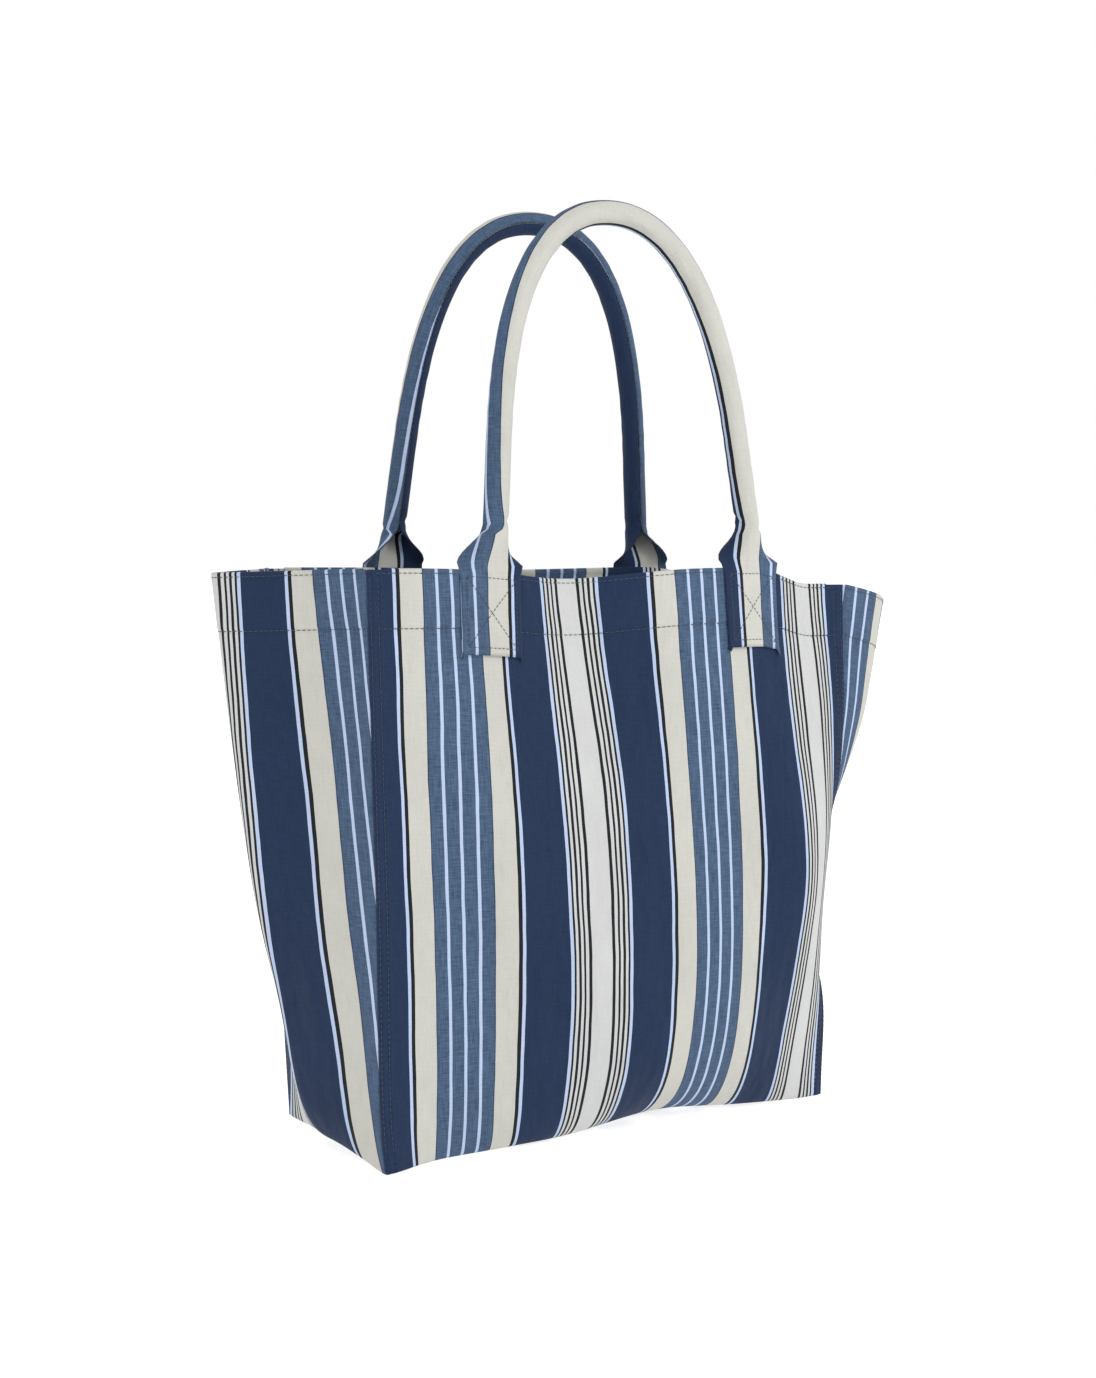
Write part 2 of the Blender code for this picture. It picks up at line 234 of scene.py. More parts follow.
def striped_canvas():
    """Yarn-dyed canvas. Real threads lie 0.5 mm apart, too fine to show from here, so the weave
    and the thick and thin places in the yarn are drawn at about twice that."""
    finish, tree, shader = new_finish("yarn_dyed_cotton_canvas")
    place = add(tree, "ShaderNodeUVMap", {"uv_map": "cloth"}).outputs["UV"]
    apart = add(tree, "ShaderNodeSeparateXYZ", inputs={0: place})
    across, along = apart.outputs["X"], apart.outputs["Y"]
    noises = []
    for size_across, size_along, detail in YARNS:
        scale = (1 / size_across, 1 / size_along, 1.0)
        stretch = add(tree, "ShaderNodeMapping", inputs={"Vector": place, "Scale": scale})
        settings = {"Vector": stretch.outputs[0], "Scale": 1.0, "Detail": detail, "Roughness": 0.6}
        noises.append(add(tree, "ShaderNodeTexNoise", inputs=settings).outputs["Fac"])
    warp, weft, wobble, drift, painted_broad_shade, crease = noises

    # where in the repeat, from 0 to 1: the place across the cloth, wandering a little, folded
    moved = across
    for noise, reach in ((wobble, 0.7 * MM), (drift, 2.0 * MM)):
        aside = {0: noise, 1: reach, 2: -reach / 2}
        aside = add(tree, "ShaderNodeMath", {"operation": "MULTIPLY_ADD"}, aside).outputs[0]
        moved = add(tree, "ShaderNodeMath", {"operation": "ADD"}, {0: moved, 1: aside}).outputs[0]
    folded = add(tree, "ShaderNodeMath", {"operation": "PINGPONG"}, {0: moved, 1: HALF_REPEAT})
    repeat = {0: folded.outputs[0], 1: HALF_REPEAT}
    repeat = add(tree, "ShaderNodeMath", {"operation": "DIVIDE"}, repeat).outputs[0]

    # one colour ramp for the colours and one for how strongly the threads show
    ramps = []
    for column in (1, 2):
        ramp = add(tree, "ShaderNodeValToRGB", inputs={"Fac": repeat})
        ramp.color_ramp.interpolation = "CONSTANT"
        elements = ramp.color_ramp.elements
        elements.remove(elements[1])
        start = 0.0
        for number, stripe in enumerate(STRIPES):
            element = elements[0] if number == 0 else elements.new(start * MM / HALF_REPEAT)
            element.color = linear(stripe[1]) if column == 1 else (stripe[2],) * 3 + (1.0,)
            start += stripe[0]
        ramps.append(ramp.outputs["Color"])

    # brightness = 1 + threads x their strength + painted shade in broad random patches
    threads = add(tree, "ShaderNodeMath", {"operation": "ADD"}, {0: warp, 1: weft}).outputs[0]
    threads = {0: threads, 1: 2.6, 2: -2.6}
    threads = add(tree, "ShaderNodeMath", {"operation": "MULTIPLY_ADD"}, threads).outputs[0]
    # painted shade: the broad patches make the cloth up to 13 percent lighter and darker
    painted_shade_scale = {0: painted_broad_shade, 1: 0.26, 2: 0.87}
    painted_shade_scale = add(tree, "ShaderNodeMath", {"operation": "MULTIPLY_ADD"}, painted_shade_scale).outputs[0]
    bright = {0: threads, 1: ramps[1], 2: painted_shade_scale}
    bright = add(tree, "ShaderNodeMath", {"operation": "MULTIPLY_ADD"}, bright).outputs[0]
    tinted = {0: ramps[0], "Scale": bright}
    tinted = add(tree, "ShaderNodeVectorMath", {"operation": "SCALE"}, tinted).outputs[0]
    tree.links.new(tinted, shader.inputs["Base Color"])

    # relief: the crossing threads and the thick yarns, on top of soft creases 22 mm wide
    waves = []
    for way in (across, along):
        turns = {0: way, 1: math.tau / (1.05 * MM)}
        turns = add(tree, "ShaderNodeMath", {"operation": "MULTIPLY"}, turns).outputs[0]
        waves.append(add(tree, "ShaderNodeMath", {"operation": "SINE"}, {0: turns}).outputs[0])
    weave = {0: waves[0], 1: waves[1]}
    weave = add(tree, "ShaderNodeMath", {"operation": "MULTIPLY"}, weave).outputs[0]
    relief = {0: threads, 1: 0.55, 2: weave}
    relief = add(tree, "ShaderNodeMath", {"operation": "MULTIPLY_ADD"}, relief).outputs[0]
    soft = {"Strength": 0.6, "Distance": 9.0 * MM, "Height": crease}
    soft = add(tree, "ShaderNodeBump", inputs=soft).outputs[0]
    fine = {"Strength": 0.45, "Distance": 0.14 * MM, "Height": relief, "Normal": soft}
    tree.links.new(add(tree, "ShaderNodeBump", inputs=fine).outputs[0], shader.inputs["Normal"])
    shader.inputs["Roughness"].default_value = 0.88
    shader.inputs["Specular IOR Level"].default_value = 0.15
    shader.inputs["Sheen Weight"].default_value = 0.05
    shader.inputs["Sheen Roughness"].default_value = 0.5
    return finish


canvas = striped_canvas()
print(canvas.name, len(canvas.node_tree.nodes), "nodes")


# %% [markdown]
# ## Thread and cord
#
# The seams are sewn with a spun polyester thread of 0.46 mm, twisted from fine fibres, with a
# slight gloss. Inside each handle is a soft cord of undyed cotton, which keeps the handle round.

# %% Build the thread and cord materials
def sewing_thread():
    """Spun polyester: a slight gloss, and a fine slanting twist about 1 mm long."""
    finish, tree, shader = new_finish("spun_polyester_thread")
    place = add(tree, "ShaderNodeTexCoord").outputs["Object"]
    twist = {"Vector": place, "Scale": 1400.0, "Detail": 2.0}
    twist = add(tree, "ShaderNodeTexNoise", inputs=twist).outputs["Fac"]
    tone = {"Factor": twist, "A": linear("2E343F"), "B": linear("434955")}
    tone = add(tree, "ShaderNodeMix", {"data_type": "RGBA"}, tone)
    tree.links.new(tone.outputs["Result"], shader.inputs["Base Color"])
    bump = {"Strength": 0.4, "Distance": 0.1 * MM, "Height": twist}
    tree.links.new(add(tree, "ShaderNodeBump", inputs=bump).outputs[0], shader.inputs["Normal"])
    shader.inputs["Roughness"].default_value = 0.6
    shader.inputs["Sheen Weight"].default_value = 0.1
    return finish


def cotton_cord():
    """Undyed cotton, soft and matt, with loose fibres about 0.8 mm apart."""
    finish, tree, shader = new_finish("undyed_cotton_cord")
    place = add(tree, "ShaderNodeTexCoord").outputs["Object"]
    fibres = {"Vector": place, "Scale": 900.0, "Detail": 3.0}
    fibres = add(tree, "ShaderNodeTexNoise", inputs=fibres).outputs["Fac"]
    tone = {"Factor": fibres, "A": linear("CFC6B2"), "B": linear("EFE9DA")}
    tone = add(tree, "ShaderNodeMix", {"data_type": "RGBA"}, tone)
    tree.links.new(tone.outputs["Result"], shader.inputs["Base Color"])
    bump = {"Strength": 0.5, "Distance": 0.3 * MM, "Height": fibres}
    tree.links.new(add(tree, "ShaderNodeBump", inputs=bump).outputs[0], shader.inputs["Normal"])
    shader.inputs["Roughness"].default_value = 0.92
    shader.inputs["Sheen Weight"].default_value = 0.2
    return finish


thread, cotton = sewing_thread(), cotton_cord()
print(thread.name, "and", cotton.name)

# %% [markdown]
# ## The shape of the walls
#
# Empty canvas holds itself up, but not stiffly. The front wall is 375 mm across and 380 mm high.
# It bellies out low down, folds softly near its right side, dips inwards at the rim between the
# handles, and rolls under where it meets the base. Each of these is one named hill or step, added
# to a plain upright wall, which is easier to read and to change than a sculpted mesh.

# %% Sizes shared by the pieces
HEIGHT = 0.380
HALF_CLOTH = 0.188  # half the width of a wall's cloth
CANVAS = 1.0 * MM
LAYER = 1.6 * MM  # from one layer of canvas to the next, middle to middle
HEM = 0.037
TAB_DEPTH = 0.053
STRIP = 0.046
FLOOR = CANVAS / 2 + 0.2 * MM
rng = np.random.default_rng(7)
RIPPLES = [
    (
        rng.uniform(0.07, 0.20),  # wave length across the cloth, in metres
        rng.uniform(0.16, 0.40),  # wave length up the cloth
        rng.uniform(0.3, 0.7) * MM,  # depth
        rng.uniform(0, 6),  # phase
    )
    for _ in range(7)
]
print("base at", FLOOR, "ripples", len(RIPPLES))


# %% Formula of the front wall
WAIST = (0.145, 0.058)  # height of the right seam's narrowest place, and how far it reaches


def half_width(height):
    """177.5 mm at the floor, and 10 mm more at the rim."""
    return 0.1775 + 0.010 * height / HEIGHT


def ripples(share, height, seed=0.0):
    """A few long slanting waves in the cloth, fading out at the seams and at the floor."""
    total = 0.0
    for across, up, depth, phase in RIPPLES:
        turns = share * HALF_CLOTH / across + height / up
        total = total + depth * np.sin(math.tau * turns + phase + seed)
    return total * (1 - share**6) * smooth(height / 0.05)


def front_depth(share, height):
    """How far the front wall stands in front of the bag's middle.

    The sum of: two seams that lean out as they rise, a belly, a fold on the right, a dip and a
    curl at the rim, the roll where the wall turns under to the base, its two corners, which stay
    out there, and a waist in the right seam."""
    upright = 1 - (1 - np.clip(height / 0.2, 0, 1)) ** 2
    left = 0.0724 + 0.0113 * upright
    right = 0.0630 + 0.0141 * upright
    depth = left + (right - left) * (share + 1) / 2
    free = 1 - np.abs(share) ** 4
    swell = np.sin(math.pi * np.clip(height / 0.429, 0, 1) ** 0.467)
    belly = 0.034 * hill(share, 0.17, 0.67) * swell * free
    fold = 0.035 * hill(share, 0.82, 0.23) * hill(height, 0.186, 0.096) * free
    dip = 0.019 * hill(share, -0.20, 0.26) * smooth((height - 0.20) / 0.18)
    curl = 0.009 * hill(share, 0.85, 0.20) * smooth((height - 0.28) / 0.10)
    foot = np.exp(-np.clip(height, 0, None) / 0.03)
    roll = 0.018 * hill(share, 0.22, 0.35) * foot
    corners = (0.014 * hill(share, -1.0, 0.16) + 0.004 * hill(share, 0.93, 0.14)) * foot
    waist = 0.013 * smooth((share - 0.92) / 0.08) * hill(height, *WAIST)
    return depth + belly + fold - dip - curl - roll + corners - waist + ripples(share, height)


def rim_drop(share, height):
    """How far the rim sags: a shallow dip left of the middle, and a lower right end."""
    dip = 0.0072 * hill(share, -0.19, 0.30) + 0.0115 * smooth((share - 0.55) / 0.30)
    return dip * smooth((height - 0.12) / 0.26)


def front_wall(share, height):
    """Point of the front wall. share is -1 at the left seam and 1 at the right.

    The foot lifts a little off the floor, and the right seam is drawn in at its waist."""
    share, height = np.broadcast_arrays(share, height)
    lift = 0.004 * hill(share, 0.22, 0.32)
    lift = lift * np.exp(-np.clip(height, 0, None) / 0.02)
    waist = hill(height, *WAIST)
    tuck = (0.004 * waist + 0.002 * hill(height, 0.03, 0.04)) * smooth((share - 0.7) / 0.3)
    tuck = tuck + 0.014 * waist * smooth((share - 0.92) / 0.08)
    x = share * half_width(height) - tuck
    z = FLOOR + height * (1 - FLOOR / HEIGHT) + lift - rim_drop(share, height)
    return np.stack([x, -front_depth(share, height), z], -1)


FIRST_CHAMBRAY = 0.0409  # from the left seam to the first chambray stripe, before the slant


def front_pattern(share, height):
    """Distance across the stripes from the first chambray stripe's middle, and along them.

    The cloth is cut a little aslant: a stripe moves 6 mm to the left from the foot to the rim."""
    slant = 0.017 + 0.006 * (1 - height / HEIGHT)
    across = (share + 1) * HALF_CLOTH - FIRST_CHAMBRAY - slant
    return np.stack(np.broadcast_arrays(across, height), -1)


print("front wall's middle at mid height:", front_wall(0.0, 0.19).round(4))


# %% Formula of the rear wall
def rear_wall(share, height):
    """Point of the rear wall: upright, leaning out a little, with one broad belly."""
    share, height = np.broadcast_arrays(share, height)
    upright = 1 - (1 - np.clip(height / 0.2, 0, 1)) ** 2
    depth = 0.0725 + 0.0095 * upright
    belly = np.sin(math.pi * np.clip(height / 0.40, 0, 1) ** 0.6)
    depth = depth + 0.024 * hill(share, -0.05, 0.62) * belly * (1 - share**4)
    depth = depth + ripples(-share, height, 2.0)
    drop = 0.002 * hill(share, 0.0, 0.4) + 0.007 * smooth((share - 0.6) / 0.4)
    z = FLOOR + height * (1 - FLOOR / HEIGHT) - drop * smooth((height - 0.12) / 0.26)
    return np.stack([share * half_width(height), depth, z], -1)


def rear_pattern(share, height):
    """The rear wall is cut from the same cloth, 12 mm further along the repeat."""
    return front_pattern(share, height) + np.array([0.012, 0.0])


print("rear wall's middle at mid height:", rear_wall(0.0, 0.19).round(4))

# %% [markdown]
# ## The shape of the gussets
#
# A gusset is the side of the bag: one tapered cloth, folded softly down its middle, that opens
# outwards towards the rim. Seen from above its outline leaves the corner seam steeply, runs
# nearly straight, and turns round a blunt nose. The right gusset hangs loose, so near the rim its
# outline spreads sideways first. A line whose heading is known everywhere can be drawn by adding
# up small steps along it, and that is how the outlines are made here.

# %% Formula of the gussets
STEPS = np.linspace(0, 1, 400)
# headings along an outline, from a seam to the fold: 0 is straight out, 90 degrees is inwards
STEEP = np.radians(72 - 20 * smooth(STEPS / 0.5) + 38 * smooth((STEPS - 0.93) / 0.07))
SPREADING = np.radians(3 + 92 * smooth(STEPS))


def outline(way, heading):
    """Shares of the way outwards and inwards along a line whose heading is given, from 0 to 1."""
    out, inward = np.cumsum(np.cos(heading)), np.cumsum(np.sin(heading))
    return np.interp(way, STEPS, out / out[-1]), np.interp(way, STEPS, inward / inward[-1])


def left_reach(height):
    """How far the left gusset's fold stands out past its seams."""
    rise = np.clip(height / HEIGHT, 0, None)
    return 0.0685 * rise**0.45 - 0.0045 * hill(height, 0.09, 0.05)


def right_reach(height):
    """The right gusset hangs straight low down and flares towards the rim."""
    return 0.004 * smooth(height / 0.02) + 0.058 * np.clip(height / HEIGHT, 0, None) ** 1.7


def gusset(side, v, height):
    """Point of a gusset. v is -1 at the front seam, 0 at the fold and 1 at the rear seam.

    From each seam, the outline's outward and inward shares carry the point to the fold. Each half
    starts from its own seam, so the halves meet exactly only where both seams stand equally far
    out. At the right waist they don't, and the faces at the fold are stretched there."""
    v, height = np.broadcast_arrays(v, height)
    ends = np.full_like(height, side)
    front_seam, rear_seam = front_wall(ends, height), rear_wall(ends, height)
    seam = np.where((v < 0)[..., None], front_seam, rear_seam)
    way = 1 - np.abs(v)
    out, inward = outline(way, STEEP)
    if side > 0:
        flare = smooth((height - 0.13) / 0.17)
        far_out, far_in = outline(way, SPREADING)
        out, inward = out + (far_out - out) * flare, inward + (far_in - inward) * flare
    reach = left_reach(height) if side < 0 else right_reach(height)
    forward = 0.0 if side < 0 else 0.010 * height / HEIGHT
    nose_y = (front_seam[..., 1] + rear_seam[..., 1]) / 2 - forward
    droop = (0.003 if side < 0 else 0.022) * smooth((height - 0.1) / 0.28)
    wave = 0.9 * MM * np.sin(height * 31 + v * 5) * np.sin(math.pi * way) * smooth(height / 0.06)
    x = seam[..., 0] + side * (reach * out + wave)
    y = seam[..., 1] + (nose_y - seam[..., 1]) * inward
    lift = (0.004 if side < 0 else 0.001) * (1 - v**2) ** 2
    lift = lift * np.exp(-np.clip(height, 0, None) / 0.03)
    z = seam[..., 2] - droop * way + lift
    return np.stack([x, y, z], -1)


def gusset_pattern(side, v, height):
    """The fold slants a little across the stripes: from a navy one up to a white one."""
    fold = 0.068 + 0.063 * height
    half_cloth = 0.049 + (0.168 if side < 0 else 0.143) * height
    return np.stack(np.broadcast_arrays(fold + v * half_cloth, height), -1)


print("left nose at the rim:", gusset(-1, 0.0, HEIGHT).round(4))

# %% [markdown]
# ## The sewn rim and corners
#
# A sheet that ends in a bare cut looks like paper. On the bag the rim is turned in and sewn down
# 37 mm lower, and each corner is a flat-felled seam: two edges folded into each other, a raised
# band 8.5 mm wide with two rows of stitches. So each wall's grid goes on past its top row, over the
# rim and down inside, and it is a little raised beside its seams, with small puckers where the
# needle went through.

# %% Add relief at the seams, and the turned hem
PITCH = 3.6 * MM  # from one stitch to the next
BAND = 8.5 * MM
ROWS = (1.6 * MM, 7.0 * MM)  # the two rows of stitches, from a corner


def seam_relief(from_left, from_right, height):
    """Raised bands at the two seams, with a dimple at each stitch, and a step below the hem."""
    relief = 0.0
    for distance in (from_left, from_right):
        relief = relief + 0.7 * MM * (1 - smooth((distance - BAND) / (1.2 * MM)))
        for row in ROWS:
            dimple = 0.15 + 0.85 * np.sin(math.pi * height / PITCH) ** 2
            relief = relief - 1.1 * MM * hill(distance, row, 1.2 * MM) * dimple
    hem_line = HEIGHT - HEM
    relief = relief + 0.35 * MM * smooth((height - hem_line + 2 * MM) / (4 * MM))
    relief = relief - 0.35 * MM * hill(height, hem_line, 1.2 * MM)
    return relief - 0.25 * MM * hill(height, HEIGHT - 2.5 * MM, 1.0 * MM)


def turned_hem(points, outwards):
    """Adds the turn over the rim and the layer inside, below the grid's last row.

    The turn is half a circle across the rim, and the layer follows the wall one LAYER behind."""
    behind = points - LAYER * outwards
    middle, reach = (points[-1] + behind[-1]) / 2, (points[-1] - behind[-1]) / 2
    up = np.array([0, 0, LAYER / 2])
    turn = np.radians([30, 60, 90, 120, 150])
    over = [middle + reach * math.cos(angle) + up * math.sin(angle) for angle in turn]
    return np.concatenate([points, over, behind[::-1]])


WALL_HEIGHTS = np.linspace(0, HEIGHT - LAYER / 2, 340)
HEM_ROWS = int(np.sum(WALL_HEIGHTS > HEIGHT - HEM - 3 * MM))  # repeated inside, as the hem
# columns lie close together beside a seam, where the band and the rows of stitches are
EDGE = np.array([0.0, 0.4, 0.9, 1.6, 2.4, 3.4, 4.6, 5.8, 6.4, 7.0, 7.6, 8.4, 9.2, 10.2])
EDGE = EDGE * MM / HALF_CLOTH
SHARES = np.concatenate([EDGE - 1, np.linspace(-0.93, 0.93, 84), 1 - EDGE[::-1]])
print(len(SHARES), "columns and", len(WALL_HEIGHTS), "rows for a wall")


# %% Sew the front and rear walls
HEM_STEP = 1.6 * MM  # along the cloth, from one row of the hem to the next


def hem_of(points, outward_normals, pattern):
    """The wall's grid and pattern with the hem added, over the rim and down the inside."""
    top = turned_hem(points[-HEM_ROWS:], outward_normals[-HEM_ROWS:])
    grid = np.concatenate([points[:-HEM_ROWS], top])
    added = np.arange(1, len(grid) - len(points) + 1)[:, None, None]
    rise = pattern[-1:, :, 1:] + added * HEM_STEP
    extra = np.concatenate([np.repeat(pattern[-1:, :, :1], len(rise), 0), rise], -1)
    return grid, np.concatenate([pattern, extra])


def sew_wall(name, shape, stripes, outside):
    """A wall with its seam bands and hem, which stops short of the corners inside.

    outside is 1 where the grid's normals already point out, and -1 where they point in."""
    share, height = np.meshgrid(SHARES, WALL_HEIGHTS)
    points = shape(share, height)
    out = normals(points) * outside
    relief = seam_relief((share + 1) * HALF_CLOTH, (1 - share) * HALF_CLOTH, height)
    points = points + relief[..., None] * out
    grid, pattern = hem_of(points, out, stripes(share, height))
    keep = np.ones((len(grid) - 1, len(SHARES) - 1), bool)
    hem_start, inset = len(WALL_HEIGHTS), len(EDGE)
    keep[hem_start:, :inset] = False
    keep[hem_start:, -inset:] = False
    return cloth_mesh(name, grid, pattern, canvas, CANVAS, keep)


front_canvas = sew_wall("front_wall_canvas", front_wall, front_pattern, 1)
rear_canvas = sew_wall("rear_wall_canvas", rear_wall, rear_pattern, -1)


# %% Sew the gussets
LAP = np.array([8.0, 5.5, 3.0, 1.0]) * MM  # columns of the lap, by their distance from the seam
BEHIND = np.array([0, LAYER, 0])


def gusset_grid(side):
    """Heights by v, with a lap of 8 mm that lies behind the front and rear walls at both ends."""
    v, height = np.meshgrid(np.linspace(-1, 1, 121), WALL_HEIGHTS)
    wall = gusset(side, v, height)
    share, lap_height = np.meshgrid(side * (1 - LAP / HALF_CLOTH), WALL_HEIGHTS)
    front_lap = front_wall(share, lap_height) + BEHIND
    rear_lap = (rear_wall(share, lap_height) - BEHIND)[:, ::-1]
    wall[:, 0] += BEHIND / 2
    wall[:, -1] -= BEHIND / 2
    front_across = gusset_pattern(side, -1 + 0 * share, lap_height)
    front_across[..., 0] -= LAP
    rear_across = gusset_pattern(side, 1 + 0 * share, lap_height)
    rear_across[..., 0] += LAP[::-1]
    grid = np.concatenate([front_lap, wall, rear_lap], axis=1)
    across = gusset_pattern(side, v, height)
    return grid, np.concatenate([front_across, across, rear_across], axis=1)


def sew_gusset(name, side):
    """A gusset with its hem. The raised bands at the corners belong to the walls."""
    grid, pattern = gusset_grid(side)
    out = normals(grid) * side
    height = np.broadcast_to(WALL_HEIGHTS[:, None], grid.shape[:2])
    far = np.full(grid.shape[:2], 1.0)
    grid = grid + seam_relief(far, far, height)[..., None] * out
    grid, pattern = hem_of(grid, out, pattern)
    keep = np.ones((len(grid) - 1, grid.shape[1] - 1), bool)
    hem_start, inset = len(WALL_HEIGHTS), len(LAP) + 2
    keep[hem_start:, :inset] = False
    keep[hem_start:, -inset:] = False
    return cloth_mesh(name, grid, pattern, canvas, CANVAS, keep)


left_canvas = sew_gusset("left_gusset_canvas", -1)
right_canvas = sew_gusset("right_gusset_canvas", 1)

# %% [markdown]
# ## The base
#
# The base is one flat cloth inside the foot of the walls. Its front edge follows the front wall,
# so it is simply every straight line from the front wall's foot to the rear wall's foot.

# %% Sew the base
BASE_LIFT = 0.3 * MM  # of the base above the feet of the walls


def sew_base():
    """Straight lines between the feet of the two walls, with a slight wave, raised at the left
    end, where the gusset's foot is raised too."""
    share, way = np.meshgrid(np.linspace(-0.985, 0.985, 90), np.linspace(0.015, 0.985, 40))
    foot, back = front_wall(share, 0 * share), rear_wall(share, 0 * share)
    points = foot + (back - foot) * way[..., None]
    wave = 0.8 * MM * (1 + np.sin(share * 9 + way * 5)) * np.sin(math.pi * way)
    left_end = 3.5 * MM * smooth((-share - 0.90) / 0.08) * (1 - (2 * way - 1) ** 2) ** 2
    points[..., 2] += BASE_LIFT + wave
    points[..., 2] += left_end
    pattern = np.stack([points[..., 0] + 0.09, points[..., 1]], -1)
    return cloth_mesh("base_canvas", points, pattern, canvas, CANVAS)


base_canvas = sew_base()

# %% [markdown]
# ## The handles
#
# Each handle is one strip of canvas, 46 mm wide. Its two ends are sewn flat to the wall as tabs.
# Above the rim the strip's edges are folded back and sewn together round a cord, which makes a
# tube 16 mm thick. The strip is modelled as the real one is made: one surface, whose cross
# section goes from a straight line to a full circle along the neck.

# %% The line of a handle
NECK = 0.029  # from the rim to where the tube is closed
TUBE = 7.75 * MM  # radius, to the middle of the cloth
GIRTH = math.tau * TUBE - 0.8 * MM  # round the tube, leaving a fine gap at its seam
RISE = {"front": 0.2375, "rear": 0.2475}
MIDDLE = {"front": 0.0, "rear": 0.0125}
SHIFT = {"front": 0.0020, "rear": -0.0025}  # of the tube, to the right of its tabs
SPREAD = {"front": 0.1000, "rear": 0.1035}  # of a tab's middle from the handle's
FULL = {"front": 0.60, "rear": 0.65}  # how squarely the arch turns at its shoulders
LEAN = math.radians(5.85)
OUT_OF_WALL = 2.3 * MM  # where a tab's cloth lies, over its turned edges
REAR_STRIPES = 8.5  # mm that the rear strip is cut further along the repeat


def arch_line(side, count=170):
    """A handle's line in its own plane, (across, up), from one foot to the other.

    Straight arms that lean together by one in ten, joined by two cubic curves at the top."""
    foot, arm, lean = SPREAD[side], 0.090, 0.10
    shoulder = np.array([foot - lean * arm, arm])
    pull = FULL[side] * (RISE[side] - arm)
    low = shoulder + pull * np.array([-lean, 1.0])
    high, top = np.array([0.58 * shoulder[0], RISE[side]]), np.array([0.0, RISE[side]])
    t = np.linspace(0, 1, 90)[:, None]
    bend = (1 - t) ** 3 * shoulder + 3 * (1 - t) ** 2 * t * low
    bend = bend + 3 * (1 - t) * t**2 * high + t**3 * top
    up = np.linspace(0.0, arm, 60)[:-1]
    half = np.concatenate([np.stack([foot - lean * up, up], -1), bend])
    whole = np.concatenate([half * (-1, 1), half[-2::-1]])
    length = arc_length(whole)
    even = np.linspace(0, length[-1], count)
    return np.stack([np.interp(even, length, whole[:, i]) for i in (0, 1)], -1), even


print("a handle is", round(float(arch_line("front")[1][-1]), 3), "m long above the rim")


# %% The strip's shape: flat tabs, closing necks, round tube
WALLS = {"front": front_wall, "rear": rear_wall}
FACING = {"front": 1, "rear": -1}
FLAT = 0.15  # the slight bend, in radians, of a strip that lies flat


def on_wall(side, x, height, out):
    """Points on a wall at given x and height, standing off it by out, and the outward normals."""
    share = x / half_width(height)
    points = WALLS[side](share, height)
    beside = WALLS[side](share + 0.002, height) - WALLS[side](share - 0.002, height)
    above = WALLS[side](share, height + MM) - WALLS[side](share, height - MM)
    outward = unit(np.cross(beside, above)) * FACING[side]
    return points + outward * np.asarray(out)[..., None], outward


def strip_spine(side, line, closing, upward):
    """The middle of a strip in space: its arch, leaning, on two feet that stand on the wall."""
    origin = np.array([MIDDLE[side], 0, HEIGHT])
    spine = origin + line[:, :1] * np.array([1, 0, 0]) + line[:, 1:] * upward
    spine[:, 0] += SHIFT[side] * closing
    feet = []
    for hand in (-1, 1):
        x = np.array(MIDDLE[side] + hand * SPREAD[side])
        feet.append(on_wall(side, x, np.array(HEIGHT - 2 * MM), OUT_OF_WALL)[0])
    share = np.clip((line[:, 0] + SPREAD[side]) / (2 * SPREAD[side]), 0, 1)
    spine[:, 1] += feet[0][1] + (feet[1][1] - feet[0][1]) * share
    spine[:, 2] += feet[0][2] + 2 * MM - HEIGHT + (feet[1][2] - feet[0][2]) * share
    return spine


def handle_strip(side):
    """Grid of a strip above its tabs: rows along it, columns across it, and each row's distance
    from the nearer tab, and the columns' places.

    Each row is an arc. closing takes it from flat at the rim to a full circle above the neck,
    and the rows' sideways direction turns from level to square with the tube. A pinch in the
    arc makes the crease where the tube ends, and slight ones the wrinkles of the tube."""
    facing = FACING[side]
    outward = np.array([0, -math.cos(LEAN) * facing, math.sin(LEAN)])
    upward = np.array([0, math.sin(LEAN) * facing, math.cos(LEAN)])
    line, length = arch_line(side)
    across = np.linspace(-0.5, 0.5, 37)
    line, length = line[1:-1], length[1:-1]
    heading = unit(np.gradient(line, axis=0))
    from_end = np.minimum(length, length[-1] + length[0] - length)
    closing = np.clip((from_end - 0.004) / (NECK - 0.004), 0, 1) ** 0.8
    right = np.stack([heading[:, 1], -heading[:, 0]], -1)
    level = np.stack([np.sign(heading[:, 1]), 0 * heading[:, 1]], -1)
    turned = smooth((from_end - 0.008) / 0.024)[:, None]
    right = unit(level * (1 - turned) + right * turned)
    right = right[:, :1] * np.array([1, 0, 0]) + right[:, 1:] * upward
    width = STRIP + (GIRTH - STRIP) * closing[:, None]
    angle = (FLAT + (GIRTH / TUBE - FLAT) * closing)[:, None]
    far, along = from_end[:, None], length[:, None]
    crease = hill(far, NECK + 0.001 + 0.016 * across, 1.6 * MM)
    pinch = 1 - 0.21 * crease * smooth((closing[:, None] - 0.5) / 0.4)
    # slanting wrinkles, unevenly spaced, 26 mm apart on average
    turns = along / 0.0042 + 4 * np.sin(along / 0.019) + 5 * across
    pinch = pinch * (1 + 0.014 * np.sin(turns) * smooth((far - NECK) / 0.02))
    bend = angle * across
    sideways = width / angle * np.sin(bend) * pinch
    back = width / angle * (1 - np.cos(bend) * pinch) - TUBE * smooth(closing)[:, None]
    spine = strip_spine(side, line, closing, upward)
    tube = spine[:, None] + sideways[..., None] * right[:, None] - back[..., None] * outward
    return tube, from_end, across


